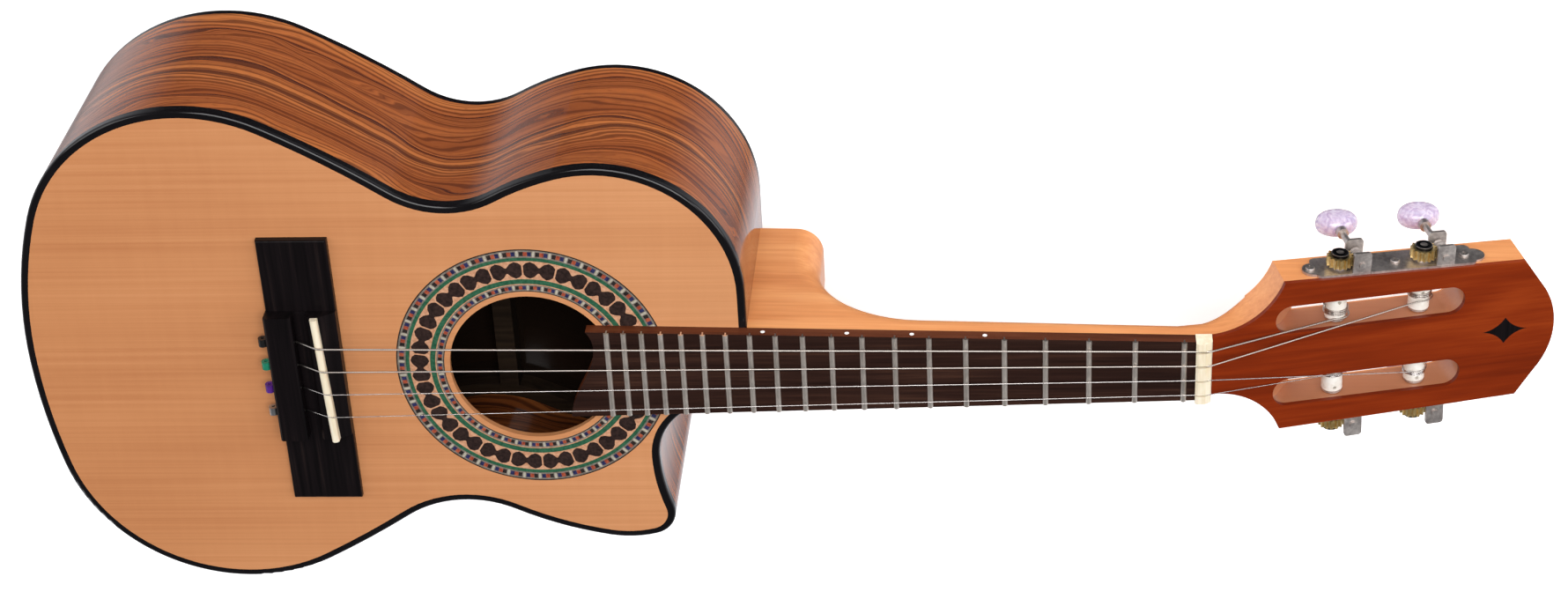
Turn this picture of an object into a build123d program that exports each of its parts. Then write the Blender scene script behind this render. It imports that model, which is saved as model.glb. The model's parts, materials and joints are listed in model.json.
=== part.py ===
from build123d import *
import os
from math import cos, radians, sin, sqrt, tan

os.makedirs("parts", exist_ok=True)

# Four-string cutaway cavaquinho, lying on its back.
# Millimetres. X runs to the head, Y to the bass side, Z out of the soundboard.
# The origin is on the back's outer face, below the middle of the soundhole.

# ---- body ---------------------------------------------------------------
depth = 88.0                # outer face of the back to the top of the soundboard
plate_t = 2.5               # soundboard and back
rib_t = 2.2
front_band = 3.2            # binding width on the soundboard
front_lip = 1.7             # binding height on the rib, below the soundboard
back_band = 2.6
back_lip = 1.4
lining_w = 6.0
tail_x = -203.8
body_y = 3.1                # body centre line, a little to the bass side of the strings
tail_turn = 1.4             # the tail end is turned this far from square, in degrees
hole_r = 33.2
rosette_in = 35.4
rosette_out = 54.7
rosette_t = 1.2

# ---- strings ------------------------------------------------------------
scale_length = 340.0
zero_x = 258.0
fret_count = 19
string_r = [0.38, 0.32, 0.20, 0.17]
pitch_bridge = 10.8
pitch_nut = 6.7
string_zero = depth + 6.8   # underside of the strings at the zero fret
string_saddle = depth + 11.0

# ---- fingerboard and neck -----------------------------------------------
board_t = 5.5
half_zero = 13.65           # half width at the zero fret
taper = 0.0258              # half width gained per millimetre towards the body
nut_x = 262.5
nut_t = 6.4
shaft_z = depth - 14.0
heel_z = depth - 79.0
head_angle = 12.0
head_wood = 16.0
veneer_t = 2.0
shoulder = (28.8, 33.8)     # along the head, half width
corner = (126.5, 31.0)
bevel_end = (133.5, 20.4)   # where the cut corner meets the curved end
head_length = 140.4
slot_y = 16.8
slot_w = 12.5
slot_start = 25.6
slot_end = 102.5

# ---- bridge -------------------------------------------------------------
bridge_x = -103.6
bridge_l = 28.1
bridge_w = 122.0
middle_w = 58.0
base_t = 3.0
tie_l = 11.0
tie_z = depth + 5.2
saddle_x = zero_x - scale_length - 0.2
saddle_slant = 2.2
saddle_t = 3.0
saddle_w = 57.4

# ---- machines -----------------------------------------------------------
roller_s = [52.6, 86.6]
roller_n = -7.5
barrel_r = 4.2
post_r = 3.0
pin_r = 2.0
fit = 0.05
gear_teeth = 14
gear_tip = 5.2
gear_root = 4.3
gear_z0 = 2.2
gear_t = 4.0
worm_pitch = 2.1
worm_out = 7.3              # gear centre to worm centre
worm_tip = 2.6
worm_core = 1.75
button_down = 28.0
button_radii = (8.5, 6.5)   # along the head, along the worm's axis
button_half_t = 4.4
button_round = 3.0
plate_th = 1.0

top = depth
nut_end = nut_x + nut_t
face_origin = (nut_end, 0, top + 1.5)
head = Plane(
    origin=face_origin,
    x_dir=(cos(radians(head_angle)), 0, -sin(radians(head_angle))),
    z_dir=(sin(radians(head_angle)), 0, cos(radians(head_angle))),
)


def head_point(s, y, n):
    return head.from_local_coords(Vector(s, y, n))


def half_width(x):
    return half_zero + (zero_x - x) * taper


def fret_x(n):
    return zero_x - scale_length * (1 - 2 ** (-n / 12))


def save(shape, name):
    shape.label = name
    export_step(shape, f"parts/{name}.step")


# ---- body outline: tangent arcs, radius and sweep (positive bulges outwards) ----
# tail, lower bout, the long run to the waist, waist, then the upper bout in two;
# the treble half ends in the cutaway's horn and hollow
bass_arcs = [(192.0, 20.4), (69.5, 98.4), (395.0, 7.9), (37.3, -64.0), (108.5, 14.1), (57.2, 104.6)]
treble_arcs = [(260.0, 11.0), (72.0, 106.1), (402.0, 5.9), (43.9, -61.4), (141.7, 16.3), (43.9, 25.8)]
cutaway_arcs = [(11.0, 93.2), (80.0, -18.1), (25.0, -90.2)]


def half_outline(arcs, side):
    # side is 1 for the bass half, -1 for the treble half
    start = Vector(tail_x, body_y)
    heading = Vector(0, side).rotate(Axis.Z, tail_turn)
    for radius, sweep in arcs:
        edge = JernArc(start=start, tangent=heading, radius=radius, arc_size=-side * sweep)
        start = edge @ 1
        heading = edge % 1
    return start


with BuildLine() as outline:
    bass_end = half_outline(bass_arcs, 1)
    cut_end = half_outline(treble_arcs + cutaway_arcs, -1)
    Polyline(bass_end, (bass_end.X, cut_end.Y), cut_end)
joint_x = bass_end.X + 0.005    # heel meets the body at the twelfth fret


def slab(inset, z0, z1):
    with BuildPart() as piece:
        with BuildSketch(Plane.XY.offset(z0)):
            make_face(outline.edges())
            if inset > 0:
                offset(amount=-inset)
        extrude(amount=z1 - z0)
    return piece.part


def ring(outer, inner, z0, z1):
    outside = slab(outer, z0, z1)
    inside = slab(inner, z0, z1)
    with BuildPart() as piece:
        add(outside)
        add(inside, mode=Mode.SUBTRACT)
    return piece.part


def cuboid(x0, x1, y0, y1, z0, z1):
    with BuildPart(Location(((x0 + x1) / 2, (y0 + y1) / 2, (z0 + z1) / 2))) as piece:
        Box(x1 - x0, y1 - y0, z1 - z0)
    return piece.part


under = top - plate_t
rib_low = plate_t + back_lip
rib_high = under - front_lip
inner = rib_t + lining_w

# ---- soundboard, rosette and bindings ------------------------------------
with BuildPart() as soundboard:
    add(slab(front_band, under, top))
    with BuildSketch(Plane.XY.offset(under)):
        Circle(hole_r)
    extrude(amount=plate_t, mode=Mode.SUBTRACT)
    with BuildSketch(Plane.XY.offset(top - rosette_t)):
        Circle(rosette_out)
        Circle(rosette_in, mode=Mode.SUBTRACT)
    extrude(amount=rosette_t, mode=Mode.SUBTRACT)
save(soundboard.part, "soundboard")

with BuildPart() as rosette:
    with BuildSketch(Plane.XY.offset(top - rosette_t)):
        Circle(rosette_out)
        Circle(rosette_in, mode=Mode.SUBTRACT)
    extrude(amount=rosette_t)
save(rosette.part, "rosette")

with BuildPart() as front_binding:
    add(ring(0, front_band, under, top))
    add(ring(0, rib_t, rib_high, under))
    fillet(front_binding.faces().sort_by(Axis.Z)[-1].outer_wire().edges(), 1.4)
save(front_binding.part, "front_binding")

with BuildPart() as back_binding:
    add(ring(0, back_band, 0, plate_t))
    add(ring(0, rib_t, plate_t, rib_low))
    fillet(back_binding.faces().sort_by(Axis.Z)[0].outer_wire().edges(), 1.2)
save(back_binding.part, "back_binding")

with BuildPart() as back_plate:
    add(slab(back_band, 0, plate_t))
save(back_plate.part, "back_plate")

# ---- ribs, split on the body centre line ----------------------------------
rib_ring = ring(0, rib_t, rib_low, rib_high)
bass_half = cuboid(-230, 120, body_y, 120, 0, top)
treble_half = cuboid(-230, 120, -120, body_y, 0, top)
with BuildPart() as rib_bass:
    add(rib_ring)
    add(bass_half, mode=Mode.INTERSECT)
save(rib_bass.part, "rib_bass")
with BuildPart() as rib_treble:
    add(rib_ring)
    add(treble_half, mode=Mode.INTERSECT)
save(rib_treble.part, "rib_treble")

# ---- hidden frame: blocks, linings, braces ---------------------------------
hollow = slab(rib_t, plate_t, under)
core = slab(inner, plate_t, under)
with BuildPart() as neck_block:
    add(hollow)
    add(cuboid(60, 90, -36, 30, 0, top), mode=Mode.INTERSECT)
save(neck_block.part, "neck_block")
with BuildPart() as tail_block:
    add(hollow)
    add(cuboid(-210, -188, body_y - 30, body_y + 30, 0, top), mode=Mode.INTERSECT)
save(tail_block.part, "tail_block")


def lining(z0, z1):
    band = ring(rib_t, inner, z0, z1)
    with BuildPart() as piece:
        add(band)
        add(neck_block.part, mode=Mode.SUBTRACT)
        add(tail_block.part, mode=Mode.SUBTRACT)
    return piece


front_lining = lining(under - 11, under)
save(front_lining.part, "front_lining")
back_lining = lining(plate_t, plate_t + 9)
save(back_lining.part, "back_lining")

with BuildPart() as bridge_plate:
    with BuildSketch(Plane.XY.offset(under - 1.8)):
        with Locations((bridge_x + bridge_l / 2, 0)):
            Rectangle(bridge_l + 8, bridge_w)
    extrude(amount=1.8)
save(bridge_plate.part, "bridge_plate")


def bars(x_list, width, z0, height):
    blocks = [cuboid(x - width / 2, x + width / 2, -120, 120, z0, z0 + height) for x in x_list]
    with BuildPart() as piece:
        for block in blocks:
            add(block)
        add(core, mode=Mode.INTERSECT)
    return piece.part


ladder = bars([-44, 46], 8, under - 11, 11)
with BuildPart() as front_braces:
    add(ladder)
    with BuildSketch(Plane.XY.offset(under - 6)):
        for k in range(-2, 3):
            with Locations((-118, body_y + 24 * k)):
                Rectangle(116, 5, rotation=-3.0 * k)
    extrude(amount=6)
    add(bridge_plate.part, mode=Mode.SUBTRACT)
save(front_braces.part, "front_braces")

with BuildPart() as back_braces:
    add(bars([-130, -25, 48], 8, plate_t, 11))
save(back_braces.part, "back_braces")

# ---- bridge and saddle -------------------------------------------------------
x0 = bridge_x
x1 = bridge_x + tie_l
x2 = x1 + 5.6
x3 = bridge_x + bridge_l
with BuildPart() as saddle_slot:
    with BuildSketch(Plane.XY.offset(top + base_t + 0.6)):
        with Locations(Location((saddle_x, 0), saddle_slant)):
            Rectangle(saddle_t, saddle_w)
    extrude(amount=10)

with BuildPart() as bridge:
    with BuildSketch(Plane.XY.offset(top)):
        with Locations((bridge_x + bridge_l / 2, 0)):
            Rectangle(bridge_l, bridge_w)
    extrude(amount=base_t)
    fillet(bridge.faces().sort_by(Axis.Z)[-1].edges(), 0.8)
    with BuildSketch(Plane.XZ):
        with BuildLine():
            Polyline(
                (x0, top + 0.5), (x0, top + 8.4), (x0 + 0.8, top + 9.0), (x1 - 0.8, top + 9.0),
                (x1, top + 8.4), (x1, top + 3.4), (x2, top + 3.4), (x2, top + 7.0),
                (x2 + 1.0, top + 8.0), (x3 - 5.5, top + 8.0), (x3, top + 4.2), (x3, top + 0.5),
                close=True,
            )
        make_face()
    extrude(amount=middle_w / 2, both=True)
    add(saddle_slot.part, mode=Mode.SUBTRACT)
    with BuildSketch(Plane.YZ.offset(x0 - 1)):
        for i in range(4):
            with Locations(((1.5 - i) * pitch_bridge, tie_z)):
                Circle(1.1)
    extrude(amount=tie_l + 2, mode=Mode.SUBTRACT)
save(bridge.part, "bridge")

saddle_low = top + base_t + 0.6
saddle_high = string_saddle - 0.42
with BuildPart(Location((saddle_x, 0, (saddle_low + saddle_high) / 2), (0, 0, saddle_slant))) as saddle:
    Box(saddle_t, saddle_w, saddle_high - saddle_low)
    fillet(saddle.edges().filter_by(lambda e: e.length > 50).group_by(Axis.Z)[-1], 1.4)
save(saddle.part, "saddle")

# ---- machine frames -----------------------------------------------------------
# Local x runs along the side of the head, local y to its back, local z outwards.
side_slope = (shoulder[1] - corner[1]) / (corner[0] - shoulder[0])


def side_width(s):
    return shoulder[1] - (s - shoulder[0]) * side_slope


def machine_plane(s):
    along = head_point(1, -side_slope, 0) - head_point(0, 0, 0)
    outward = head_point(side_slope, 1, 0) - head_point(0, 0, 0)
    return Plane(origin=head_point(s, side_width(s), roller_n), x_dir=along, z_dir=outward)


def rod(radius, z0, z1):
    with BuildPart(Location((0, 0, z0))) as piece:
        Cylinder(radius, z1 - z0, align=(Align.CENTER, Align.CENTER, Align.MIN))
    return piece.part


plate_s = sum(roller_s) / 2
roller_planes = [machine_plane(s) for s in roller_s]
plate_plane = machine_plane(plate_s)
roller_x = [s - plate_s for s in roller_s]
screw_x = [-28.75, 5.65, 33.85]
wall_out = [slot_y + slot_w / 2 - side_width(s) for s in roller_s]
wall_in = [slot_y - slot_w / 2 - side_width(s) for s in roller_s]

# ---- neck shaft and heel: side profile crossed with the plan ----------------------
heel_arc_r = 42.0
flare_start = (154.0, shaft_z - 1.4)
low_end = (255.3, shaft_z)
root_low = head_point(0, 0, -veneer_t - head_wood)
root_high = head_point(0, 0, -1.53)
with BuildPart() as shaft:
    with BuildSketch(Plane.XZ):
        with BuildLine():
            Line(low_end, flare_start)
            flare = JernArc(start=flare_start, tangent=(-1, -0.0138), radius=heel_arc_r, arc_size=89.2)
            heel_x = (flare @ 1).X
            Polyline(
                flare @ 1, (heel_x, heel_z), (joint_x, heel_z), (joint_x, top),
                (root_high.X, top), (root_low.X, root_low.Z), low_end,
            )
        make_face()
    extrude(amount=30, both=True)
    with BuildSketch(Plane.XY.offset(heel_z - 1)):
        wide = half_width(joint_x)
        slim = half_width(nut_end)
        Polygon((joint_x, wide), (joint_x, -wide), (nut_end, -slim), (nut_end, slim), align=None)
    extrude(amount=100, mode=Mode.INTERSECT)
    long_edges = shaft.edges().filter_by(
        lambda e: abs(e.center().Y) > 12 and heel_z + 1 < e.center().Z < 84 and 90 < e.center().X < 263
    )
    fillet(long_edges, 11.0)
    fillet(shaft.faces().sort_by(Axis.Z)[0].edges().filter_by(lambda e: e.center().X > joint_x + 1), 1.2)

# ---- head: flare arcs start in line with the neck and end at the shoulders ---------
flare_rise = shoulder[1] - slim
flare_r = (shoulder[0] ** 2 + flare_rise ** 2) / (2 * flare_rise)


def flare_width(s):
    return slim + flare_r - sqrt(flare_r ** 2 - s ** 2)


def head_plate(s0, n0, n1):
    mid = (s0 + shoulder[0]) / 2
    rim = [(s0, flare_width(s0)), (mid, flare_width(mid)), shoulder]
    with BuildPart() as piece:
        with BuildSketch(head.offset(n0)):
            with BuildLine():
                ThreePointArc(*rim)
                Polyline(shoulder, corner, bevel_end)
                ThreePointArc(bevel_end, (head_length, 0), (bevel_end[0], -bevel_end[1]))
                Polyline(
                    (bevel_end[0], -bevel_end[1]), (corner[0], -corner[1]), (shoulder[0], -shoulder[1]),
                )
                ThreePointArc(*[(s, -y) for s, y in reversed(rim)])
                Line((s0, -rim[0][1]), rim[0])
            make_face()
        extrude(amount=n1 - n0)
    return piece.part


with BuildPart() as slot_full:
    with BuildSketch(head.offset(-20)):
        for side in (1, -1):
            with Locations(((slot_start + slot_end) / 2, side * slot_y)):
                SlotOverall(slot_end - slot_start, slot_w)
    extrude(amount=21)

# the wood floor of each slot ramps down from the nut end
with BuildPart() as ramp:
    with BuildSketch(Plane(origin=face_origin, x_dir=head.x_dir, z_dir=(0, -1, 0))):
        Polygon((18, -veneer_t), (26, -3.2), (39, -20), (18, -20), align=None)
    extrude(amount=30, both=True)
with BuildPart() as slot_cut:
    add(slot_full.part)
    add(ramp.part, mode=Mode.SUBTRACT)

# the round back of the neck fades into the flat back of the head
with BuildPart() as head_root:
    for s, radius in [(-1, 11.0), (6, 8.0), (12, 4.5), (18, 1.2)]:
        with BuildSketch(Plane(origin=head_point(s, 0, -veneer_t), x_dir=(0, 1, 0), z_dir=head.x_dir)) as section:
            Rectangle(2 * flare_width(s) - 0.02, head_wood - 0.02, align=(Align.CENTER, Align.MAX))
            fillet(section.vertices().group_by(Axis.Y)[0], radius)
    loft()

head_block = head_plate(18, -veneer_t - head_wood, -veneer_t)
with BuildPart() as bores:
    for plane, outer, inner_wall in zip(roller_planes, wall_out, wall_in):
        add(rod(post_r + fit, outer - 3, 3).moved(plane.location))
        add(rod(pin_r + fit, inner_wall - 6.4, inner_wall + 3).moved(plane.location))
    for x in screw_x:
        add(rod(1.1, -7, 1).moved(plate_plane.location * Location((x, 0, 0))))
with BuildPart() as neck:
    add(shaft.part)
    add(head_root.part)
    add(head_block)
    add(slot_cut.part, mode=Mode.SUBTRACT)
    add(bores.part, mode=Mode.SUBTRACT)
    add(mirror(bores.part, about=Plane.XZ), mode=Mode.SUBTRACT)
save(neck.part, "neck")

with BuildPart() as inlay:
    with BuildSketch(head.offset(-0.8)):
        with BuildLine():
            for sx, sy in ((1, 1), (1, -1), (-1, -1), (-1, 1)):
                tip = (120 + 9.5 * sx, 0)
                side_tip = (120, 6.0 * sy)
                waist = (120 + 3.4 * sx, 2.2 * sy)
                if sx * sy > 0:
                    ThreePointArc(side_tip, waist, tip)
                else:
                    ThreePointArc(tip, waist, side_tip)
        make_face()
    extrude(amount=0.8)
save(inlay.part, "head_inlay")

face_sheet = head_plate(0, -veneer_t, 0)
with BuildPart() as veneer:
    add(face_sheet)
    add(cuboid(nut_end - 3, nut_end, -20, 20, top - 5, top + 5), mode=Mode.SUBTRACT)
    add(slot_full.part, mode=Mode.SUBTRACT)
    add(inlay.part, mode=Mode.SUBTRACT)
save(veneer.part, "head_veneer")

# ---- fingerboard, frets and dots ----------------------------------------------------
crown_w = 2.2
crown_h = 1.0
tang_w = 0.6
tang_h = 1.8
board_top = top + board_t
dot_frets = [5, 7, 9, 12]


def fret_bar(x, height, width):
    # crown, tang and length follow the board
    with BuildPart() as piece:
        with BuildSketch(Plane(origin=(x, 0, board_top), x_dir=(1, 0, 0), z_dir=(0, -1, 0))):
            with BuildLine():
                ThreePointArc((crown_w / 2, 0), (0, height), (-crown_w / 2, 0))
                Line((-crown_w / 2, 0), (crown_w / 2, 0))
            make_face()
            with Locations((0, 0.05)):
                Rectangle(tang_w, tang_h + 0.05, align=(Align.CENTER, Align.MAX))
        extrude(amount=width, both=True)
    return piece.part


with BuildPart() as dots:
    for n in dot_frets:
        x = (fret_x(n) + fret_x(n - 1)) / 2
        with BuildSketch(Plane.XZ.offset(-half_width(x) + 0.9)):
            with Locations((x, top + 2.9)):
                Circle(0.9)
        extrude(amount=-0.95)
save(dots.part, "side_dots")

with BuildPart() as fingerboard:
    with BuildSketch(Plane.XY.offset(top)):
        with BuildLine():
            Polyline(
                (23.2, half_width(23.2)), (nut_x, half_width(nut_x)),
                (nut_x, -half_width(nut_x)), (14.8, -half_width(14.8)),
            )
            Spline(
                (14.8, -half_width(14.8)), (17.2, -11.0), (24.2, 3.8), (25.6, 14.5), (23.2, half_width(23.2)),
            )
        make_face()
    extrude(amount=board_t)
    for n in range(fret_count + 1):
        with Locations((fret_x(n), 0, board_top - tang_h / 2)):
            Box(tang_w, 60, tang_h, mode=Mode.SUBTRACT)
    add(dots.part, mode=Mode.SUBTRACT)
save(fingerboard.part, "fingerboard")

with BuildPart() as frets:
    for n in range(1, fret_count + 1):
        add(fret_bar(fret_x(n), crown_h, half_width(fret_x(n)) - 0.1))
save(frets.part, "frets")
save(fret_bar(zero_x, string_zero - board_top - 0.02, half_zero - 0.1), "zero_fret")

# ---- string routes --------------------------------------------------------------------
barrel_y = [13.0, 16.5, -16.5, -13.0]
roller_of = [0, 1, 1, 0]
nut_edge_x = nut_end - 0.7
nut_under = string_zero - 0.2


def bridge_y(i):
    return (1.5 - i) * pitch_bridge


def nut_y(i):
    return (1.5 - i) * pitch_nut


def route(i):
    r = string_r[i]
    yb = bridge_y(i)
    yn = nut_y(i)
    xs = saddle_x - yb * tan(radians(saddle_slant))
    y0 = yn + (yb - yn) * (nut_edge_x - zero_x) / (nut_edge_x - xs)
    bend = barrel_r + r + 0.15
    s = roller_s[roller_of[i]]
    y = barrel_y[i]
    points = [
        (bridge_x - 0.2, yb, tie_z),
        (bridge_x + tie_l, yb, tie_z),
        (xs, yb, string_saddle + r),
        (zero_x, y0, string_zero + r),
        (nut_edge_x, yn, nut_under + r),
        head_point(s - 2.5, y, roller_n + bend),
        head_point(s + bend, y, roller_n + bend),
        head_point(s + bend, y, roller_n - 1.0),
    ]
    return points, bend


for i in range(4):
    points, bend = route(i)
    with BuildPart() as string:
        with BuildLine() as path:
            FilletPolyline(*points, radius=bend)
        with BuildSketch(Plane(origin=path.line @ 0, z_dir=path.line % 0)):
            Circle(string_r[i])
        sweep(path=path.line)
    save(string.part, f"string_{i + 1}")

for i in range(4):
    with BuildPart(Location((bridge_x - 2.1, bridge_y(i), tie_z), (90, 0, 0))) as ball_end:
        Cylinder(1.9, 3.4)
        Cylinder(0.7, 3.4, mode=Mode.SUBTRACT)
    save(ball_end.part, f"ball_end_{i + 1}")

with BuildPart() as nut:
    with BuildSketch(Plane.XZ):
        with BuildLine():
            Polyline(
                (nut_x, top), (nut_x, top + 7.6), (nut_x + 1.0, top + 8.1), (nut_end - 2.4, top + 7.9),
                (nut_end - 0.4, top + 6.6), (nut_end, top + 5.4), (nut_end, top), close=True,
            )
        make_face()
    extrude(amount=half_zero + 0.2, both=True)
    for i in range(4):
        with BuildSketch(Plane.YZ.offset(nut_x - 1)):
            with Locations((nut_y(i), nut_under - 0.12)):
                Rectangle(2 * string_r[i] + 0.3, 6, align=(Align.CENTER, Align.MIN))
        extrude(amount=nut_t + 2, mode=Mode.SUBTRACT)
save(nut.part, "nut")

# ---- machine plates ---------------------------------------------------------------------
gear_mid = gear_z0 + gear_t / 2
lug_gap = 4.9
lug_t = 1.2
lug_w = 7.2
lug_h = 9.6
lug_corner = 1.4
shank_r = 1.3
plate_ends = (-24.9, 35.1)      # along the head, before the lobes
plate_edges = (-6.2, 7.8)       # towards the head's face and its back
lobe_out = 2.6
lobe_r = 4.4
nick_r = 1.6
with BuildPart() as plate:
    with BuildSketch():
        with Locations((sum(plate_ends) / 2, sum(plate_edges) / 2)):
            Rectangle(plate_ends[1] - plate_ends[0], plate_edges[1] - plate_edges[0])
        for end, sign in ((plate_ends[0], -1), (plate_ends[1], 1)):
            with Locations((end + lobe_out * sign, 0)):
                Circle(lobe_r)
            with Locations((end, plate_edges[0] + lobe_out), (end, plate_edges[1] - lobe_out)):
                Circle(lobe_out)
        with Locations((-7.5, plate_edges[1]), (22, plate_edges[1]), (-7.5, plate_edges[0])):
            Circle(nick_r, mode=Mode.SUBTRACT)
    extrude(amount=plate_th)
    for x in roller_x:
        for y in (-lug_gap - lug_t, lug_gap):
            with BuildSketch(Plane(origin=(x + worm_out, y, 0), x_dir=(-1, 0, 0), z_dir=(0, 1, 0))) as tab:
                Rectangle(lug_w, lug_h, align=(Align.CENTER, Align.MIN))
                fillet(tab.vertices().group_by(Axis.Y)[-1], lug_corner)
                with Locations((0, gear_mid)):
                    Circle(shank_r + fit, mode=Mode.SUBTRACT)
            extrude(amount=lug_t)
    for x in roller_x:
        add(rod(post_r + fit, -1, 2).moved(Location((x, 0, 0))), mode=Mode.SUBTRACT)
    for x in screw_x:
        add(rod(1.1, -1, 2).moved(Location((x, 0, 0))), mode=Mode.SUBTRACT)

with BuildPart() as screws:
    for x in screw_x:
        with Locations((x, 0, plate_th)):
            Cylinder(1.9, 1.0, align=(Align.CENTER, Align.CENTER, Align.MIN))
        with Locations((x, 0, -6)):
            Cylinder(1.1, 7.0, align=(Align.CENTER, Align.CENTER, Align.MIN))
    fillet(screws.faces().group_by(Axis.Z)[-1].edges(), 0.4)
    for x in screw_x:
        with Locations((x, 0, plate_th + 1.0)):
            Box(2.6, 0.5, 1.0, mode=Mode.SUBTRACT)
            Box(0.5, 2.6, 1.0, mode=Mode.SUBTRACT)

# ---- gear, worm, button and roller, each in the roller's own frame --------------------------
with BuildPart() as gear:
    with BuildSketch(Plane.XY.offset(gear_z0)):
        Circle(gear_root)
        with PolarLocations(0, gear_teeth):
            Polygon((gear_root - 0.3, 0.58), (gear_root - 0.3, -0.58), (gear_tip, -0.28), (gear_tip, 0.28), align=None)
        Circle(pin_r, mode=Mode.SUBTRACT)
    extrude(amount=gear_t)

turns = 4
worm_plane = Plane(origin=(worm_out, 0, gear_mid), x_dir=(1, 0, 0), z_dir=(0, 1, 0))
with BuildPart() as thread:
    with BuildLine() as thread_path:
        Helix(worm_pitch, turns * worm_pitch, worm_core, center=(0, 0, -turns * worm_pitch / 2))
    with BuildSketch(Plane(origin=thread_path.line @ 0, x_dir=(1, 0, 0), z_dir=thread_path.line % 0)):
        Polygon((-0.3, 0.52), (-0.3, -0.52), (worm_tip - worm_core, -0.2), (worm_tip - worm_core, 0.2), align=None)
    sweep(path=thread_path.line, is_frenet=True)
with BuildPart() as worm:
    add(thread.part)
    for radius, z0, z1 in ((worm_core, -4.7, 4.7), (shank_r, -6.9, 24.0), (2.3, 6.4, 7.6), (2.3, 18.8, 21.4)):
        with Locations((0, 0, z0)):
            Cylinder(radius, z1 - z0, align=(Align.CENTER, Align.CENTER, Align.MIN))
with BuildPart() as button:
    with BuildSketch(Plane.XZ):
        with Locations((0, button_down)):
            Ellipse(*button_radii)
    extrude(amount=button_half_t, both=True)
    fillet(button.edges().filter_by(lambda e: e.length > 20), button_round)
    with Locations((0, 0, 20)):
        Cylinder(shank_r, 4.0, align=(Align.CENTER, Align.CENTER, Align.MIN), mode=Mode.SUBTRACT)


def roller_pieces(i):
    m = roller_of[i]
    r = string_r[i]
    outer = wall_out[m]
    inner_wall = wall_in[m]
    with BuildPart() as roller:
        for radius, z0, z1 in (
            (pin_r, inner_wall - 6.0, gear_z0 + gear_t),
            (3.9, inner_wall + 0.4, inner_wall + 1.5),
            (3.9, outer - 1.6, outer - 0.4),
            (post_r, outer - 0.4, gear_z0),
            (3.4, gear_z0 + gear_t, gear_z0 + gear_t + 1.3),
        ):
            with Locations((0, 0, z0)):
                Cylinder(radius, z1 - z0, align=(Align.CENTER, Align.CENTER, Align.MIN))
        with Locations((0, 0, gear_z0 + gear_t + 1.3)):
            Box(8, 0.8, 1.2, mode=Mode.SUBTRACT)
    winding_z = abs(barrel_y[i]) - side_width(roller_s[m]) + 2 * r + 0.15
    with BuildPart() as barrel:
        with Locations((0, 0, inner_wall + 1.5)):
            Cylinder(barrel_r, outer - inner_wall - 3.1, align=(Align.CENTER, Align.CENTER, Align.MIN))
            Cylinder(pin_r, outer - inner_wall - 3.1, align=(Align.CENTER, Align.CENTER, Align.MIN), mode=Mode.SUBTRACT)
        with Locations(Location((0, 0, outer - 3.2), (90, 0, 0))):
            Cylinder(0.7, 12, mode=Mode.SUBTRACT)
    with BuildPart() as winding:
        with BuildLine() as coil:
            Helix(2 * r + 0.06, 3.5 * (2 * r + 0.06), barrel_r + r + 0.01, center=(0, 0, winding_z))
        with BuildSketch(Plane(origin=coil.line @ 0, z_dir=coil.line % 0)):
            Circle(r)
        sweep(path=coil.line, is_frenet=True)
    return roller.part, barrel.part, winding.part


def place(shape, plane, side):
    moved = shape.moved(plane.location)
    if side < 0:
        moved = mirror(moved, about=Plane.XZ)
    return moved


for side, label in ((1, "bass"), (-1, "treble")):
    save(place(plate.part, plate_plane, side), f"machine_plate_{label}")
    save(place(screws.part, plate_plane, side), f"plate_screws_{label}")
for i in range(4):
    side = 1 if i < 2 else -1
    plane = roller_planes[roller_of[i]]
    roller, barrel, winding = roller_pieces(i)
    save(place(roller, plane, side), f"roller_{i + 1}")
    save(place(barrel, plane, side), f"barrel_{i + 1}")
    save(place(winding, plane, side), f"winding_{i + 1}")
    save(place(gear.part, plane, side), f"gear_{i + 1}")
    save(place(worm.part.moved(worm_plane.location), plane, side), f"worm_{i + 1}")
    save(place(button.part.moved(worm_plane.location), plane, side), f"button_{i + 1}")
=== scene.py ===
import bpy
import json
import math
from mathutils import Matrix, Vector


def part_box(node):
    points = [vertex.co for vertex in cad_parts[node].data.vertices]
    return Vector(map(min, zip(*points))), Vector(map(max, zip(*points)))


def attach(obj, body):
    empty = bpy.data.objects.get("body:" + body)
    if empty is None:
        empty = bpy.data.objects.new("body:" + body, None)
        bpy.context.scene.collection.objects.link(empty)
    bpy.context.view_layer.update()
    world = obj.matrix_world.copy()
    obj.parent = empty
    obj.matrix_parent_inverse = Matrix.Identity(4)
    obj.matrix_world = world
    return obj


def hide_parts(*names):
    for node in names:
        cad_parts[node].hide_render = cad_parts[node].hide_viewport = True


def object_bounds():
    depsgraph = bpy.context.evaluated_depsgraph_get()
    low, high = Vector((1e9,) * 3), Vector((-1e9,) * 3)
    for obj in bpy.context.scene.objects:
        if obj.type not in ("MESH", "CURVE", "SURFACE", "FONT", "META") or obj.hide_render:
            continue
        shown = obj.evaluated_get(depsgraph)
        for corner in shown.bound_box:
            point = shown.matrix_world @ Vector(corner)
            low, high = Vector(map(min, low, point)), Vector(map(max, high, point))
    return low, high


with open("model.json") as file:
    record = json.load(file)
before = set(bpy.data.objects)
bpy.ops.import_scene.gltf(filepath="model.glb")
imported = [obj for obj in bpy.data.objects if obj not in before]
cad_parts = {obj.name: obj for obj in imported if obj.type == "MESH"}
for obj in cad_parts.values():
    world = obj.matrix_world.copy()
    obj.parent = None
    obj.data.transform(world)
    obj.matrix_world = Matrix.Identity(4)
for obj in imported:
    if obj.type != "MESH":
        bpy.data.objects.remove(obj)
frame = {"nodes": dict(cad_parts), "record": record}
cad_low, cad_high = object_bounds()
MM = 0.001
HEAD_ANGLE = 12                 # degrees that the head tips back
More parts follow.
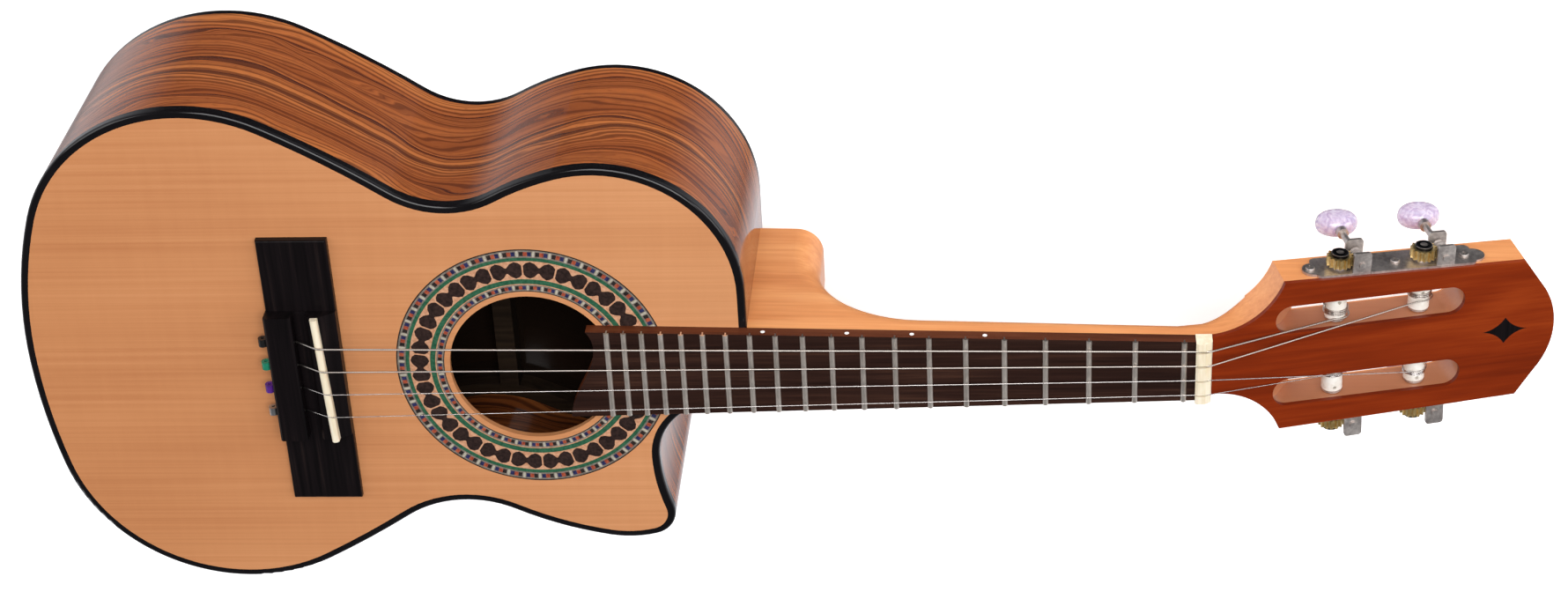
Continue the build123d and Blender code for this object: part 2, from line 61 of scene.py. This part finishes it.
HEAD_WOOD = 15.5 * MM           # head's wood below its veneer, less a little
SLOTS_HALF_WIDTH = 26 * MM      # both slots lie this near to the middle line
SLOTS_FROM_END = 113 * MM       # and start this far from the head's end
INLAY_DEPTH = 0.4 * MM
INLAY_PROUD = 0.03 * MM
TILE_PROUD = 0.05 * MM
TILE_SHORTER = 0.32 * MM        # at both ends, on all but the pale tiles
TILE_HALF = 0.12                # half a mosaic tile's width, as a share of the repeat
PALE_TILE_HALF = 0.075
BOW_COUNT = 22
BOW_FROM_RIM = 9.45 * MM        # middle of the bow-tie band, in from the rosette's rim
FLOOR_GAP = 0.2 * MM
PAINTED_SHADING_DEPTH = 0.1 * MM                 # the board's painted lighter sides (painted light) start this far below its top; the back's painted dark inside (painted shade) starts twice as far below its top
BUTTON_HALF = (8.5 * MM, 6.5 * MM, 4.4 * MM)
BUTTON_FLATNESS = 0.55
OVERHEAD = 0.14                 # brightness of the studio above the horizon
# screw cap on a gear: radius and height above the side of the head, in millimetres
GEAR_CAP = [(0, 7.0), (1.5, 7.0), (1.6, 7.75), (2.9, 7.75), (3.45, 7.3), (3.5, 6.12), (0, 6.12)]


# ---------------------------------------------------------------- materials
class Finish:
    """A Principled material with small helpers for procedural detail in object coordinates."""

    def __init__(self, name, colour=(0.5, 0.5, 0.5), **values):
        self.mat = bpy.data.materials.new(name)
        self.mat.use_nodes = True
        self.tree = self.mat.node_tree
        self.bsdf = self.tree.nodes["Principled BSDF"]
        self.bsdf.inputs["Base Color"].default_value = (*colour, 1)
        for key, value in values.items():
            self.bsdf.inputs[key.replace("_", " ")].default_value = value
        self.coords = self.add("ShaderNodeTexCoord").outputs["Object"]

    def add(self, kind, **settings):
        node = self.tree.nodes.new(kind)
        for key, value in settings.items():
            setattr(node, key, value)
        return node

    def join(self, a, b):
        self.tree.links.new(a, b)

    def scaled(self, scale):
        node = self.add("ShaderNodeMapping")
        node.inputs["Scale"].default_value = scale
        self.join(self.coords, node.inputs["Vector"])
        return node.outputs["Vector"]

    def noise(self, scale, detail=3.0, rough=0.55, distortion=0.0):
        node = self.add("ShaderNodeTexNoise")
        node.inputs["Scale"].default_value = 1.0
        node.inputs["Detail"].default_value = detail
        node.inputs["Roughness"].default_value = rough
        node.inputs["Distortion"].default_value = distortion
        self.join(self.scaled(scale), node.inputs["Vector"])
        return node.outputs["Fac"]

    def line_noise(self, value, scale, detail=2.0):
        node = self.add("ShaderNodeTexNoise", noise_dimensions="1D")
        node.inputs["Scale"].default_value = scale
        node.inputs["Detail"].default_value = detail
        self.join(value, node.inputs["W"])
        return node.outputs["Fac"]

    def math(self, operation, a, b=None, c=None):
        node = self.add("ShaderNodeMath", operation=operation)
        for socket, value in zip(node.inputs, (a, b, c)):
            if value is None:
                continue
            if isinstance(value, (int, float)):
                socket.default_value = value
            else:
                self.join(value, socket)
        return node.outputs["Value"]

    def axis(self, letter):
        node = self.add("ShaderNodeSeparateXYZ")
        self.join(self.coords, node.inputs["Vector"])
        return node.outputs[letter]

    def ramp(self, fac, stops, mode="LINEAR"):
        node = self.add("ShaderNodeValToRGB")
        node.color_ramp.interpolation = mode
        while len(node.color_ramp.elements) < len(stops):
            node.color_ramp.elements.new(0.5)
        for element, (place, colour) in zip(node.color_ramp.elements, stops):
            element.position = place
            element.color = (*colour, 1) if len(colour) == 3 else colour
        self.join(fac, node.inputs["Fac"])
        return node.outputs["Color"]

    def blend(self, fac, a, b, mode="MIX"):
        node = self.add("ShaderNodeMix", data_type="RGBA", blend_type=mode)
        for key, value in (("Factor", fac), ("A", a), ("B", b)):
            socket = [s for s in node.inputs if s.name == key and s.enabled][0]
            if isinstance(value, (int, float)):
                socket.default_value = value
            elif isinstance(value, tuple):
                socket.default_value = (*value, 1)
            else:
                self.join(value, socket)
        return [s for s in node.outputs if s.enabled][0]

    def span(self, fac, low, high):
        node = self.add("ShaderNodeMapRange")
        node.inputs["To Min"].default_value = low
        node.inputs["To Max"].default_value = high
        self.join(fac, node.inputs["Value"])
        return node.outputs["Result"]

    def colour(self, socket):
        self.join(socket, self.bsdf.inputs["Base Color"])

    def roughness(self, fac, low, high):
        self.join(self.span(fac, low, high), self.bsdf.inputs["Roughness"])

    def bump(self, height, strength, distance=0.0002):
        node = self.add("ShaderNodeBump")
        node.inputs["Strength"].default_value = strength
        node.inputs["Distance"].default_value = distance
        self.join(height, node.inputs["Height"])
        self.join(node.outputs["Normal"], self.bsdf.inputs["Normal"])


def spruce():
    f = Finish("spruce", Roughness=0.42, Coat_Weight=0.18, Coat_Roughness=0.22)
    lines = f.noise((5, 900, 5), 2, 0.6)
    tone = f.noise((3, 34, 2), 3)
    silk = f.noise((220, 24, 1), 2)
    broad = f.noise((7, 7, 7), 1)
    mix = f.math("ADD", f.math("MULTIPLY", lines, 0.36), f.math("MULTIPLY", tone, 0.36))
    mix = f.math("ADD", mix, f.math("MULTIPLY", silk, 0.08))
    mix = f.math("ADD", mix, f.math("MULTIPLY", broad, 0.2))
    wood = f.ramp(mix, [
        (0.34, (0.46, 0.175, 0.064)),
        (0.5, (0.53, 0.218, 0.084)),
        (0.66, (0.59, 0.258, 0.108)),
    ])
    # painted light: the top is painted lighter and paler towards the head, a painted light gradient across
    # the soundboard
    painted_light_towards_head = f.math("MULTIPLY_ADD", f.axis("X"), 3.0, 0.55)
    f.colour(f.blend(painted_light_towards_head, wood, (1.10, 1.18, 1.28), "MULTIPLY"))
    f.roughness(lines, 0.38, 0.5)
    f.bump(lines, 0.06)
    return f.mat


def striped(name, across, gloss=0.16, inner_above=None):
    """Brown wood with long wavy dark lines; across is the axis that crosses the lines.

    Above the height inner_above the wood is the raw, shaded inside of the body.
    """
    f = Finish(name, Roughness=gloss, Coat_Weight=0.35, Coat_Roughness=0.06, Specular_IOR_Level=0.25)
    other = {"Z": (9, 9, 26), "Y": (9, 26, 9)}[across]
    wave = f.noise(other, 2, 0.5, 0.4)
    ripple = f.noise(tuple(4 * v for v in other), 2, 0.5)
    height = f.math("MULTIPLY_ADD", wave, 0.034, f.axis(across))
    height = f.math("MULTIPLY_ADD", ripple, 0.0035, height)
    fine = f.line_noise(height, 1100, 3)
    streak = f.line_noise(height, 480, 3)
    dark = f.line_noise(height, 210, 2)
    broad = f.line_noise(height, 62, 1)
    base = f.ramp(broad, [
        (0.3, (0.23, 0.058, 0.014)),
        (0.48, (0.37, 0.104, 0.025)),
        (0.68, (0.53, 0.178, 0.046)),
    ])
    base = f.blend(f.math("MULTIPLY", fine, 0.45), base, (0.15, 0.036, 0.011))
    threads = f.ramp(streak, [(0.45, (0, 0, 0)), (0.58, (1, 1, 1))])
    base = f.blend(f.math("MULTIPLY", threads, 0.75), base, (0.085, 0.020, 0.008))
    mask = f.ramp(dark, [(0.62, (0, 0, 0)), (0.68, (1, 1, 1))])
    base = f.blend(f.math("MULTIPLY", mask, 0.85), base, (0.055, 0.014, 0.008))
    pores = f.noise((260, 260, 1400) if across == "Z" else (260, 1400, 260), 1, 0.5)
    speck = f.ramp(pores, [(0.60, (0, 0, 0)), (0.72, (1, 1, 1))])
    wood = f.blend(f.math("MULTIPLY", speck, 0.35), base, (0.07, 0.018, 0.008))
    if inner_above is not None:
        inside = f.math("GREATER_THAN", f.axis("Z"), inner_above)
        wood = f.blend(inside, wood, (0.010, 0.006, 0.004))
    f.colour(wood)
    f.bump(pores, 0.03)
    return f.mat


def cedar():
    """Varnished orange wood; the head's slot walls are raw, and painted darker and pinker: painted shade
    inside the slots.
    """
    f = Finish("cedar", Roughness=0.36, Coat_Weight=0.25, Coat_Roughness=0.2)
    fine = f.noise((14, 520, 520), 3, 0.6)
    tone = f.noise((6, 50, 50), 3, 0.5, 0.5)
    mix = f.math("ADD", f.math("MULTIPLY", fine, 0.45), f.math("MULTIPLY", tone, 0.55))
    wood = f.ramp(mix, [(0.32, (0.56, 0.185, 0.05)), (0.5, (0.69, 0.265, 0.082)), (0.68, (0.80, 0.36, 0.13))])
    # height above the head's back face, which tips down by the head's angle
    slope = math.tan(math.radians(HEAD_ANGLE))
    head_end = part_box("neck")[1].x
    back_level = head_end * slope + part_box("head_veneer")[0].z - HEAD_WOOD
    level = f.math("ADD", f.axis("Z"), f.math("MULTIPLY", f.axis("X"), slope))
    inside = f.math("GREATER_THAN", level, back_level)
    between = f.math("LESS_THAN", f.math("ABSOLUTE", f.axis("Y")), SLOTS_HALF_WIDTH)
    beyond = f.math("GREATER_THAN", f.axis("X"), head_end - SLOTS_FROM_END)
    # painted shade: the slot walls inside the head are darkened towards a pinker brown
    walls = f.math("MULTIPLY", f.math("MULTIPLY", inside, between), beyond)
    f.colour(f.blend(f.math("MULTIPLY", walls, 0.7), wood, (0.38, 0.15, 0.085)))
    pores = f.noise((120, 1500, 1500), 1, 0.5)
    f.roughness(fine, 0.3, 0.44)
    f.bump(pores, 0.08)
    return f.mat


def red_veneer():
    f = Finish("red_veneer", Roughness=0.34, Coat_Weight=0.06, Coat_Roughness=0.12, Specular_IOR_Level=0.12)
    fine = f.noise((16, 420, 60), 3, 0.6)
    tone = f.noise((9, 55, 20), 3, 0.5, 0.7)
    mix = f.math("ADD", f.math("MULTIPLY", fine, 0.45), f.math("MULTIPLY", tone, 0.55))
    f.colour(f.ramp(mix, [
        (0.32, (0.12, 0.012, 0.0015)),
        (0.5, (0.19, 0.021, 0.0025)),
        (0.68, (0.265, 0.037, 0.005)),
    ]))
    f.bump(f.noise((200, 1800, 400), 1), 0.04)
    return f.mat


def rosewood(top_z):
    """Dark oiled top; the sides are painted a lighter red-brown: painted light, a lit copy of the same wood.
    """
    f = Finish("dark_rosewood", Roughness=0.42, Specular_IOR_Level=0.14)
    fine = f.noise((22, 900, 900), 3, 0.6)
    tone = f.noise((9, 130, 130), 3, 0.5, 0.6)
    mix = f.math("ADD", f.math("MULTIPLY", fine, 0.5), f.math("MULTIPLY", tone, 0.5))
    upper = f.ramp(mix, [
        (0.36, (0.013, 0.005, 0.0035)),
        (0.52, (0.024, 0.0095, 0.0065)),
        (0.68, (0.05, 0.021, 0.013)),
    ])
    # painted light: below the top the wood gets this lighter copy of its own colours
    painted_lit_side = f.ramp(mix, [
        (0.36, (0.06, 0.014, 0.005)),
        (0.52, (0.105, 0.026, 0.009)),
        (0.68, (0.15, 0.042, 0.015)),
    ])
    level = f.math("GREATER_THAN", f.axis("Z"), top_z - PAINTED_SHADING_DEPTH)
    f.colour(f.blend(level, painted_lit_side, upper))
    f.roughness(fine, 0.3, 0.5)
    f.bump(fine, 0.12)
    return f.mat


def black_wood():
    f = Finish("black_wood", Roughness=0.34, Specular_IOR_Level=0.12)
    fine = f.noise((700, 16, 300), 3, 0.6)
    f.colour(f.ramp(fine, [
        (0.35, (0.003, 0.0022, 0.0025)),
        (0.6, (0.006, 0.004, 0.0045)),
        (0.8, (0.016, 0.010, 0.009)),
    ]))
    f.roughness(fine, 0.24, 0.42)
    f.bump(fine, 0.05)
    return f.mat


def black_gloss():
    f = Finish("black_binding", Roughness=0.1, Coat_Weight=0.12, Coat_Roughness=0.04, Specular_IOR_Level=0.3)
    wear = f.noise((60, 60, 60), 4)
    f.colour(f.ramp(wear, [(0.3, (0.0025, 0.002, 0.0025)), (0.8, (0.006, 0.005, 0.006))]))
    f.roughness(wear, 0.07, 0.16)
    f.bump(f.noise((25, 25, 25), 1), 0.03, 0.001)
    return f.mat


def pale_wood():
    """Raw inner wood, dark because it lies in the closed body's shade."""
    f = Finish("pale_wood", Roughness=0.8, Specular_IOR_Level=0.1)
    fine = f.noise((30, 500, 500), 3)
    f.colour(f.ramp(fine, [(0.3, (0.014, 0.008, 0.005)), (0.7, (0.030, 0.018, 0.010))]))
    f.bump(fine, 0.15)
    return f.mat


def bone():
    f = Finish("bone", Roughness=0.25, Subsurface_Weight=0.05, Subsurface_Scale=0.002)
    cloud = f.noise((180, 60, 180), 3)
    streak = f.noise((900, 90, 900), 2)
    mix = f.math("ADD", f.math("MULTIPLY", cloud, 0.6), f.math("MULTIPLY", streak, 0.4))
    f.colour(f.ramp(mix, [(0.35, (0.72, 0.60, 0.40)), (0.6, (0.83, 0.74, 0.58))]))
    f.bump(streak, 0.03)
    return f.mat


def metal(name, low, high, rough, scale=500, pits=0.0):
    f = Finish(name, Metallic=1.0, Roughness=rough)
    grain = f.noise((scale, scale, scale), 4, 0.6)
    cloud = f.noise((90, 90, 90), 3)
    mix = f.math("ADD", f.math("MULTIPLY", grain, 0.5), f.math("MULTIPLY", cloud, 0.5))
    f.colour(f.ramp(mix, [(0.35, low), (0.62, high)]))
    f.roughness(mix, max(0.05, rough - 0.1), rough + 0.12)
    f.bump(grain, 0.04 + pits)
    return f.mat


def wound(name):
    """Wire wrap: fine rings across the string."""
    f = Finish(name, Metallic=1.0, Roughness=0.28)
    node = f.add("ShaderNodeTexWave", wave_type="BANDS", bands_direction="X")
    node.inputs["Scale"].default_value = 1.0
    f.join(f.scaled((560, 0, 0)), node.inputs["Vector"])
    f.colour(f.ramp(node.outputs["Fac"], [(0.0, (0.36, 0.32, 0.29)), (0.6, (0.60, 0.54, 0.49))]))
    f.bump(node.outputs["Fac"], 0.25, 0.00005)
    return f.mat


def pearl():
    f = Finish("pearl", Roughness=0.16, Coat_Weight=0.6, Coat_Roughness=0.05,
               Subsurface_Weight=0.12, Subsurface_Scale=0.003)
    swirl = f.noise((230, 230, 230), 3, 0.5, 2.2)
    patch = f.noise((90, 90, 90), 2, 0.5, 1.0)
    body = f.ramp(swirl, [(0.32, (0.36, 0.27, 0.44)), (0.5, (0.52, 0.43, 0.58)), (0.66, (0.68, 0.61, 0.71))])
    f.colour(f.blend(f.span(patch, 0.0, 0.35), body, (0.62, 0.50, 0.62)))
    f.roughness(swirl, 0.1, 0.24)
    return f.mat


def plastic(name, low, high, rough=0.25):
    f = Finish(name, Roughness=rough)
    cloud = f.noise((300, 300, 300), 3)
    f.colour(f.ramp(cloud, [(0.35, low), (0.65, high)]))
    f.roughness(cloud, max(0.04, rough - 0.06), rough + 0.08)
    return f.mat


def inlay_wood(name, low, high):
    f = Finish(name, Roughness=0.38, Coat_Weight=0.08, Coat_Roughness=0.12, Specular_IOR_Level=0.15)
    fine = f.noise((900, 900, 200), 3)
    f.colour(f.ramp(fine, [(0.35, low), (0.65, high)]))
    return f.mat


nodes = frame["nodes"]
board_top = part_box("fingerboard")[1].z
finishes = {
    "spruce": spruce(),
    "rosette_wood": inlay_wood("rosette_wood", (0.44, 0.21, 0.115), (0.60, 0.33, 0.20)),
    "black_binding": black_gloss(),
    "striped_wood": striped("striped_wood", "Z"),
    "pale_wood": pale_wood(),
    "black_wood": black_wood(),
    "bone": bone(),
    "cedar": cedar(),
    "red_veneer": red_veneer(),
    "dark_rosewood": rosewood(board_top),
    "fret_metal": metal("fret_metal", (0.74, 0.66, 0.58), (0.86, 0.78, 0.70), 0.42, 300),
    "white_dot": plastic("white_dot", (0.82, 0.82, 0.80), (0.92, 0.92, 0.90), 0.2),
    "wound_steel": wound("wound_steel"),
    "plain_steel": metal("plain_steel", (0.50, 0.46, 0.44), (0.70, 0.66, 0.64), 0.2, 300),
    "ball_black": plastic("ball_black", (0.005, 0.005, 0.005), (0.02, 0.02, 0.02)),
    "ball_green": plastic("ball_green", (0.01, 0.16, 0.09), (0.02, 0.24, 0.14)),
    "ball_purple": plastic("ball_purple", (0.06, 0.012, 0.16), (0.10, 0.02, 0.24)),
    "ball_silver": metal("ball_silver", (0.4, 0.4, 0.4), (0.6, 0.6, 0.6), 0.3),
    "nickel": metal("nickel", (0.40, 0.35, 0.33), (0.72, 0.66, 0.62), 0.5, 700, 0.08),
    "pearl": pearl(),
    "white_barrel": plastic("white_barrel", (0.74, 0.68, 0.60), (0.86, 0.82, 0.76), 0.28),
    "brass_gear": metal("brass_gear", (0.64, 0.44, 0.16), (0.90, 0.71, 0.36), 0.42, 800, 0.05),
}
back_finish = striped("striped_back", "Y", inner_above=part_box("back_plate")[1].z - 2 * PAINTED_SHADING_DEPTH)
black_steel = metal("black_steel", (0.006, 0.006, 0.008), (0.03, 0.03, 0.035), 0.3, 400)
for entry in frame["record"]["subparts"]:
    obj = nodes[entry["node"]]
    obj.data.materials.clear()
    obj.data.materials.append(finishes[entry["material_slot"]])
nodes["back_plate"].data.materials[0] = back_finish


# ---------------------------------------------------------------- meshes
def piece(name, verts, faces, finish, body, smooth=False, place=Matrix()):
    mesh = bpy.data.meshes.new(name)
    mesh.from_pydata([place @ Vector(v) for v in verts], [], faces)
    mesh.update()
    mesh.materials.append(finish)
    if smooth:
        mesh.shade_smooth()
    obj = bpy.data.objects.new(name, mesh)
    bpy.context.scene.collection.objects.link(obj)
    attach(obj, body)
    return obj


def prisms(outlines, z0, z1):
    """Upright prisms from closed plan outlines, as one mesh."""
    verts, faces = [], []
    for outline in outlines:
        start, count = len(verts), len(outline)
        verts += [(x, y, z0) for x, y in outline] + [(x, y, z1) for x, y in outline]
        faces.append(list(range(start + count, start + 2 * count)))
        faces.append(list(range(start + count - 1, start - 1, -1)))
        for i in range(count):
            j = (i + 1) % count
            faces.append((start + i, start + j, start + count + j, start + count + i))
    return verts, faces


def ring_band(r_in, r_out, z0, z1, count=240):
    """A flat ring with walls."""
    verts, faces = [], []
    for i in range(count):
        a = 2 * math.pi * i / count
        for r, z in ((r_in, z0), (r_out, z0), (r_out, z1), (r_in, z1)):
            verts.append((r * math.cos(a), r * math.sin(a), z))
    for i in range(count):
        j = (i + 1) % count
        for k in range(4):
            m = (k + 1) % 4
            faces.append((4 * i + k, 4 * j + k, 4 * j + m, 4 * i + m))
    return verts, faces


def polar_patch(points, turn):
    """Plan outline from (angle, radius) points, turned about the hole's centre."""
    return [(r * math.cos(turn + angle), r * math.sin(turn + angle)) for angle, r in points]


def lathe(profile, count=48):
    """Closed solid of revolution about Z; the profile's first and last points are on the axis."""
    verts, faces = [], []
    for r, z in profile:
        for i in range(count):
            a = 2 * math.pi * i / count
            verts.append((r * math.cos(a), r * math.sin(a), z))
    for k in range(len(profile) - 1):
        for i in range(count):
            j = (i + 1) % count
            faces.append((k * count + i, k * count + j, (k + 1) * count + j, (k + 1) * count + i))
    return verts, faces


# ---------------------------------------------------------------- rosette
low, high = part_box("rosette")
r_out = (high.x - low.x) / 2
inlay_low = high.z - INLAY_DEPTH
inlay_high = high.z + INLAY_PROUD
tile_high = high.z + TILE_PROUD
dark_line = inlay_wood("rosette_dark", (0.012, 0.009, 0.009), (0.03, 0.022, 0.02))
grey_wood = inlay_wood("rosette_grey", (0.13, 0.11, 0.09), (0.21, 0.18, 0.15))
green_wood = inlay_wood("rosette_green", (0.014, 0.07, 0.036), (0.035, 0.12, 0.065))
brown_wood = inlay_wood("rosette_brown", (0.014, 0.008, 0.007), (0.036, 0.02, 0.017))
cream_wood = inlay_wood("rosette_cream", (0.33, 0.30, 0.24), (0.46, 0.42, 0.34))
blue_wood = inlay_wood("rosette_blue", (0.012, 0.014, 0.05), (0.03, 0.032, 0.10))
red_wood = inlay_wood("rosette_red", (0.22, 0.035, 0.02), (0.38, 0.09, 0.045))


def inlay_ring(name, from_out, width, finish):
    verts, faces = ring_band(r_out - from_out - width, r_out - from_out, inlay_low, inlay_high)
    piece(name, verts, faces, finish, "instrument")


# each ring's two edges, in millimetres in from the rosette's rim
for ring_name, from_out, to_out, finish in (
    ("rosette_line_outer", 0.0, 0.5, dark_line),
    ("rosette_band_outer", 0.5, 3.8, grey_wood),
    ("rosette_green_outer", 3.8, 5.3, green_wood),
    ("rosette_green_inner", 13.6, 15.7, green_wood),
    ("rosette_band_inner", 16.1, 18.9, grey_wood),
    ("rosette_line_inner", 18.9, 19.25, dark_line),
):
    inlay_ring(ring_name, from_out * MM, (to_out - from_out) * MM, finish)

# mosaic: distance from the rim, width and repeats; four colours in turn, the pale tile the narrow one
for label, from_out, width, count in (("outer", 0.9, 2.5, 51), ("inner", 16.4, 2.2, 41)):
    outer_r = r_out - from_out * MM
    inner_r = outer_r - width * MM
    step = 2 * math.pi / count
    for k, (colour_name, finish) in enumerate(
        (("cream", cream_wood), ("blue", blue_wood), ("red", red_wood), ("black", dark_line))
    ):
        outlines = []
        for i in range(count):
            centre = step * (i + k / 4)
            half = step * (PALE_TILE_HALF if k == 0 else TILE_HALF)
            shrink = 0.0 if k == 0 else TILE_SHORTER
            near = inner_r + shrink
            far = outer_r - shrink
            outlines.append(polar_patch([(-half, near), (half, near), (half, far), (-half, far)], centre))
        verts, faces = prisms(outlines, inlay_low, tile_high)
        piece(f"rosette_tiles_{label}_{colour_name}", verts, faces, finish, "instrument")

bow_middle = r_out - BOW_FROM_RIM
bow_step = 2 * math.pi / BOW_COUNT
# a quarter of a bow-tie's outline: share of the repeat, and millimetres from the band's middle
quarter_bow = [(0.475, 2.0), (0.40, 3.1), (0.27, 3.8), (0.13, 2.9), (0.02, 1.3)]
bow_outline = (
    quarter_bow + [(-s, r) for s, r in reversed(quarter_bow)]
    + [(-s, -r) for s, r in quarter_bow] + [(s, -r) for s, r in reversed(quarter_bow)]
)
bow = [(s * bow_step, bow_middle + r * MM) for s, r in bow_outline]
outlines = [polar_patch(bow, i * bow_step) for i in range(BOW_COUNT)]
verts, faces = prisms(outlines, inlay_low, inlay_high)
piece("rosette_bow_ties", verts, faces, brown_wood, "instrument")

# ---------------------------------------------------------------- machines
joints = {j["name"]: j for j in frame["record"]["behaviour"]["joints"]}


def superellipsoid(a, b, c, flat, rings=28, segments=64):
    """Pillow with an elliptical plan (a along x, b along z) and flattened faces (c along y)."""
    verts, faces = [], []
    for k in range(rings + 1):
        u = -math.pi / 2 + math.pi * k / rings
        height = c * math.copysign(abs(math.sin(u)) ** 0.85, math.sin(u))
        reach = abs(math.cos(u)) ** flat
        for i in range(segments):
            v = 2 * math.pi * i / segments
            verts.append((a * reach * math.cos(v), height, b * reach * math.sin(v)))
    for k in range(rings):
        for i in range(segments):
            j = (i + 1) % segments
            faces.append((k * segments + i, k * segments + j, (k + 1) * segments + j, (k + 1) * segments + i))
    return verts, faces


for n in range(1, 5):
    reel, knob = joints[f"reel_{n}_turn"], joints[f"knob_{n}_turn"]
    out = Vector(reel["axis"]).normalized()
    up = Vector(knob["axis"]).normalized()
    along = out.cross(up).normalized()
    axes = Matrix((along, out, -up)).transposed().to_4x4()
    low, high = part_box(f"button_{n}")
    centre = (low + high) / 2
    drop = (Vector(knob["pos_m"]) - centre).dot(up)
    place = Matrix.Translation(Vector(knob["pos_m"]) - up * drop) @ axes
    verts, faces = superellipsoid(*BUTTON_HALF, BUTTON_FLATNESS)
    button = piece(f"pearl_button_{n}", verts, faces, finishes["pearl"], f"knob_{n}", True, place)
    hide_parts(f"button_{n}")
    axes = Matrix((along, out.cross(along), out)).transposed().to_4x4()
    place = Matrix.Translation(Vector(reel["pos_m"])) @ axes
    verts, faces = lathe([(r * MM, z * MM) for r, z in GEAR_CAP])
    piece(f"gear_cap_{n}", verts, faces, black_steel, f"reel_{n}", False, place)

# ---------------------------------------------------------------- floor, light, camera
floor_finish = Finish("floor", Roughness=0.9, Specular_IOR_Level=0.1, Emission_Strength=0.55)
floor_finish.bsdf.inputs["Emission Color"].default_value = (1, 1, 1, 1)
mottle = floor_finish.noise((3, 3, 3), 2)
floor_finish.colour(floor_finish.ramp(mottle, [(0, (0.86, 0.86, 0.86)), (1, (0.9, 0.9, 0.9))]))
reach = 8.0
floor_z = cad_low.z - FLOOR_GAP
corners = [(x * reach, y * reach, floor_z) for x, y in ((-1, -1), (1, -1), (1, 1), (-1, 1))]
mesh = bpy.data.meshes.new("floor")
mesh.from_pydata(corners, [], [(0, 1, 2, 3)])
mesh.materials.append(floor_finish.mat)
floor = bpy.data.objects.new("floor", mesh)
bpy.context.scene.collection.objects.link(floor)
floor.visible_glossy = False

middle = (cad_low + cad_high) / 2


def soft_light(name, place, size, power, aim=middle):
    data = bpy.data.lights.new(name, "AREA")
    data.shape = "RECTANGLE"
    data.size, data.size_y = size
    data.energy = power
    obj = bpy.data.objects.new(name, data)
    obj.location = place
    obj.rotation_mode = "QUATERNION"
    obj.rotation_quaternion = (Vector(aim) - Vector(place)).to_track_quat("-Z", "Y")
    bpy.context.scene.collection.objects.link(obj)


soft_light("key", (0.5, 1.1, 2.2), (2.2, 1.6), 66)
soft_light("left", (-1.6, 0.9, 1.2), (1.0, 1.4), 12)
soft_light("right", (2.0, 0.6, 1.0), (1.0, 1.4), 14)

world = bpy.data.worlds.new("studio")
world.use_nodes = True
sky = world.node_tree
parts = sky.nodes.new("ShaderNodeSeparateXYZ")
sky.links.new(sky.nodes.new("ShaderNodeTexCoord").outputs["Generated"], parts.inputs["Vector"])


def sky_math(operation, a, b=None):
    node = sky.nodes.new("ShaderNodeMath")
    node.operation = operation
    sky.links.new(a, node.inputs[0])
    if isinstance(b, float):
        node.inputs[1].default_value = b
    elif b is not None:
        sky.links.new(b, node.inputs[1])
    return node.outputs["Value"]


def sky_step(value, start, end, low, high):
    node = sky.nodes.new("ShaderNodeMapRange")
    node.interpolation_type = "SMOOTHSTEP"
    for key, number in (("From Min", start), ("From Max", end), ("To Min", low), ("To Max", high)):
        node.inputs[key].default_value = number
    sky.links.new(value, node.inputs["Value"])
    return node.outputs["Result"]


# below the horizon the studio is dark in the middle, bright to both ends and to the treble side
sideways = sky_math("ABSOLUTE", parts.outputs["X"])
towards_front = sky_math("MULTIPLY", parts.outputs["Y"], -1.2)
low_light = sky_step(sky_math("MAXIMUM", sideways, towards_front), 0.3, 0.65, 0.05, 0.9)
strength = sky.nodes.new("ShaderNodeMix")
sky.links.new(sky_step(parts.outputs["Z"], -0.1, 0.5, 0.0, 1.0), strength.inputs["Factor"])
sky.links.new(low_light, strength.inputs["A"])
strength.inputs["B"].default_value = OVERHEAD
sky.nodes["Background"].inputs["Color"].default_value = (0.93, 0.95, 1.0, 1)
sky.links.new(strength.outputs["Result"], sky.nodes["Background"].inputs["Strength"])
bpy.context.scene.world = world

# above the bass side, looking down across the soundboard
camera_data = bpy.data.cameras.new("camera")
camera_data.sensor_width = 36.0
camera_data.lens = 69.13
camera_data.shift_x = -0.0301
camera_data.shift_y = -0.0147
camera_data.clip_start, camera_data.clip_end = 0.05, 60.0
camera = bpy.data.objects.new("camera", camera_data)
camera.location = (0.1932, 0.6442, 1.0904)
camera.rotation_euler = [math.radians(angle) for angle in (-31.09, 2.82, -2.18)]
bpy.context.scene.collection.objects.link(camera)
bpy.context.scene.camera = camera

view = bpy.context.scene.view_settings
view.view_transform = "Standard"
view.look = "None"
